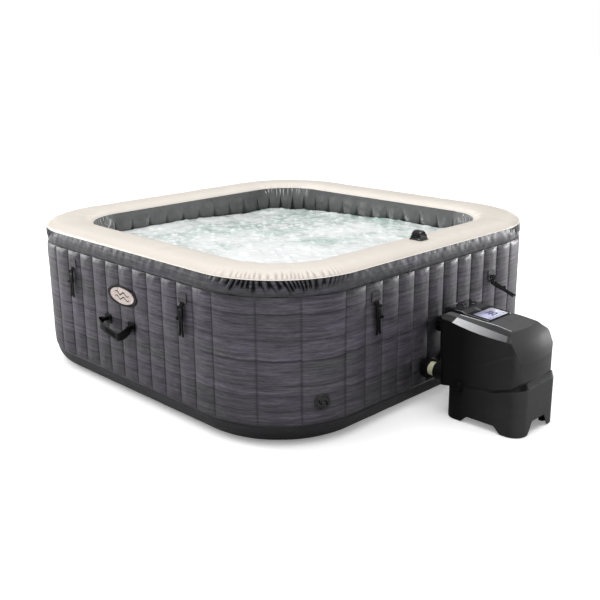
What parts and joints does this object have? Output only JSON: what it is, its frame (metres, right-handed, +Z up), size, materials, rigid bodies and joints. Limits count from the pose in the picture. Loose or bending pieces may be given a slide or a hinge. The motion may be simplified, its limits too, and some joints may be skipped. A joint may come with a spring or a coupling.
{
  "type": "inflatable hot tub",
  "caption": "Square inflatable hot tub with fluted double walls, a soft raised rim, cover clips, handles and valves, joined to a box-shaped heater and pump unit with a lift-off panel.",
  "frame": {"origin": "on the floor under the middle of the tub", "axes": "+X from the tub to its pump unit, -Y out of the wall with the badge and the front handle, +Z up"},
  "size_m": [2.4382, 2.0624, 0.7482],
  "materials": {
    "wall_print": "satin printed vinyl, weathered grey boards with a horizontal grain",
    "dark_band": "satin dark grey vinyl",
    "rim_vinyl": "satin cream vinyl",
    "inner_vinyl": "wet dark grey vinyl",
    "web_vinyl": "plain natural vinyl",
    "badge_print": "satin cream print with a dark border",
    "black_plastic": "moulded black plastic",
    "gloss_black": "gloss black plastic",
    "handle_rubber": "soft black rubber",
    "webbing": "black woven webbing",
    "seal_rubber": "black rubber",
    "grey_plastic": "moulded grey plastic",
    "filter_paper": "pleated filter cloth",
    "pump_plastic": "satin charcoal plastic with a fine grain",
    "silver_trim": "satin grey paint",
    "accent_white": "white line and icons",
    "lcd": "pale blue display",
    "steel": "brushed steel",
    "motor_metal": "cast aluminium",
    "circuit_board": "green circuit board",
    "ivory_plastic": "ivory plastic",
    "water": "foaming water, in the pictures only"
  },
  "bodies": {
    "tub": {"outer_wall": "wall_print", "upper_band": "dark_band", "rim_top": "rim_vinyl", "base_band": "dark_band", "inner_wall": "inner_vinyl", "floor_liner": "inner_vinyl", "base_sheet": "dark_band", "wall_webs": "web_vinyl", "air_channel": "inner_vinyl", "badge": "badge_print", "panel_cradle": "gloss_black", "air_valve_body": "black_plastic", "drain_body": "black_plastic", "clip_straps": "webbing", "handle_brackets": "black_plastic", "inlet_fitting": "black_plastic", "outlet_fitting": "black_plastic", "air_fitting": "black_plastic", "wall_gaskets": "seal_rubber", "return_grille": "grey_plastic", "filter_housing": "grey_plastic", "filter_cartridge": "filter_paper", "pump_base": "pump_plastic", "pump_cover": "pump_plastic", "trim_bands": "silver_trim", "foot_pads": "seal_rubber", "housing_screws": "steel", "cord_inlet": "seal_rubber", "pump_volute": "black_plastic", "pump_motor": "motor_metal", "blower_housing": "black_plastic", "heater_tube": "steel", "control_board": "circuit_board", "water_pipes": "ivory_plastic"},
    "clip_1": {"clip_1": "black_plastic"},
    "clip_2": {"clip_2": "black_plastic"},
    "clip_3": {"clip_3": "black_plastic"},
    "clip_4": {"clip_4": "black_plastic"},
    "clip_5": {"clip_5": "black_plastic"},
    "clip_6": {"clip_6": "black_plastic"},
    "clip_7": {"clip_7": "black_plastic"},
    "clip_8": {"clip_8": "black_plastic"},
    "handle_front": {"handle_front": "handle_rubber"},
    "handle_back": {"handle_back": "handle_rubber"},
    "air_valve_cap": {"air_valve_cap": "black_plastic"},
    "drain_cap": {"drain_cap": "black_plastic"},
    "filter_cap": {"filter_cap": "grey_plastic"},
    "side_plug": {"side_plug": "black_plastic"},
    "inlet_nut": {"inlet_nut": "black_plastic"},
    "outlet_nut": {"outlet_nut": "black_plastic"},
    "air_nut": {"air_nut": "black_plastic"},
    "impeller": {"impeller": "grey_plastic"},
    "blower_fan": {"blower_fan": "grey_plastic"},
    "control_panel": {"control_panel": "gloss_black", "panel_screen": "lcd"},
    "button_power": {"button_power": "gloss_black"},
    "button_filter": {"button_filter": "gloss_black"},
    "button_heat": {"button_heat": "gloss_black"},
    "button_bubbles": {"button_bubbles": "gloss_black"},
    "button_timer": {"button_timer": "gloss_black"}
  },
  "joints": [
    {"name": "clip_1_swing", "type": "hinge", "parent": "tub", "child": "clip_1", "pos_m": [0.9692, -0.41, 0.525], "axis": [0, -1, 0], "range_deg": [-4, 110]},
    {"name": "clip_2_swing", "type": "hinge", "parent": "tub", "child": "clip_2", "pos_m": [0.9692, 0.41, 0.455], "axis": [0, -1, 0], "range_deg": [-74, 40]},
    {"name": "clip_3_swing", "type": "hinge", "parent": "tub", "child": "clip_3", "pos_m": [0.41, 0.9692, 0.525], "axis": [1, 0, 0], "range_deg": [-4, 110]},
    {"name": "clip_4_swing", "type": "hinge", "parent": "tub", "child": "clip_4", "pos_m": [-0.41, 0.9692, 0.525], "axis": [1, 0, 0], "range_deg": [-4, 110]},
    {"name": "clip_5_swing", "type": "hinge", "parent": "tub", "child": "clip_5", "pos_m": [-0.9692, 0.41, 0.525], "axis": [0, 1, 0], "range_deg": [-4, 110]},
    {"name": "clip_6_swing", "type": "hinge", "parent": "tub", "child": "clip_6", "pos_m": [-0.9692, -0.41, 0.525], "axis": [0, 1, 0], "range_deg": [-4, 110]},
    {"name": "clip_7_swing", "type": "hinge", "parent": "tub", "child": "clip_7", "pos_m": [-0.41, -0.9692, 0.525], "axis": [-1, 0, 0], "range_deg": [-4, 110]},
    {"name": "clip_8_swing", "type": "hinge", "parent": "tub", "child": "clip_8", "pos_m": [0.41, -0.9692, 0.525], "axis": [-1, 0, 0], "range_deg": [-4, 110]},
    {"name": "handle_front_lift", "type": "hinge", "parent": "tub", "child": "handle_front", "pos_m": [-0.052, -0.9792, 0.355], "axis": [-1, 0, 0], "range_deg": [-40, 115]},
    {"name": "handle_back_lift", "type": "hinge", "parent": "tub", "child": "handle_back", "pos_m": [0.052, 0.9792, 0.355], "axis": [1, 0, 0], "range_deg": [-40, 115]},
    {"name": "air_valve_cap_open", "type": "hinge", "parent": "tub", "child": "air_valve_cap", "pos_m": [0.93079, -0.69014, 0.156], "axis": [0.3746, 0.9272, 0], "range_deg": [0, 110]},
    {"name": "drain_cap_turn", "type": "hinge", "parent": "tub", "child": "drain_cap", "pos_m": [-0.97, 0, 0.13], "axis": [-1, 0, 0], "range_deg": [0, 270]},
    {"name": "filter_cap_turn", "type": "hinge", "parent": "tub", "child": "filter_cap", "pos_m": [0.65, -0.07, 0.172], "axis": [-1, 0, 0], "range_deg": [0, 60]},
    {"name": "side_plug_turn", "type": "hinge", "parent": "tub", "child": "side_plug", "pos_m": [1.167, -0.13, 0.148], "axis": [0, -1, 0], "range_deg": [0, 90]},
    {"name": "inlet_nut_turn", "type": "hinge", "parent": "tub", "child": "inlet_nut", "pos_m": [0.97, -0.07, 0.172], "axis": [1, 0, 0], "range_deg": [0, 330]},
    {"name": "outlet_nut_turn", "type": "hinge", "parent": "tub", "child": "outlet_nut", "pos_m": [0.97, 0.11, 0.172], "axis": [1, 0, 0], "range_deg": [0, 330]},
    {"name": "air_nut_turn", "type": "hinge", "parent": "tub", "child": "air_nut", "pos_m": [0.97, 0.02, 0.35], "axis": [1, 0, 0], "range_deg": [0, 330]},
    {"name": "impeller_spin", "type": "hinge", "parent": "tub", "child": "impeller", "pos_m": [1.176, -0.07, 0.172], "axis": [1, 0, 0], "continuous": true},
    {"name": "blower_fan_spin", "type": "hinge", "parent": "tub", "child": "blower_fan", "pos_m": [1.25, 0.02, 0.35], "axis": [0, 0, 1], "continuous": true},
    {"name": "control_panel_lift", "type": "slide", "parent": "tub", "child": "control_panel", "axis": [0, 0, 1], "range_m": [0, 0.06]},
    {"name": "button_power_press", "type": "slide", "parent": "control_panel", "child": "button_power", "axis": [0, 0, -1], "range_m": [0, 0.0008], "stiffness_N_per_m": 400},
    {"name": "button_filter_press", "type": "slide", "parent": "control_panel", "child": "button_filter", "axis": [0, 0, -1], "range_m": [0, 0.0008], "stiffness_N_per_m": 400},
    {"name": "button_heat_press", "type": "slide", "parent": "control_panel", "child": "button_heat", "axis": [0, 0, -1], "range_m": [0, 0.0008], "stiffness_N_per_m": 400},
    {"name": "button_bubbles_press", "type": "slide", "parent": "control_panel", "child": "button_bubbles", "axis": [0, 0, -1], "range_m": [0, 0.0008], "stiffness_N_per_m": 400},
    {"name": "button_timer_press", "type": "slide", "parent": "control_panel", "child": "button_timer", "axis": [0, 0, -1], "range_m": [0, 0.0008], "stiffness_N_per_m": 400}
  ]
}
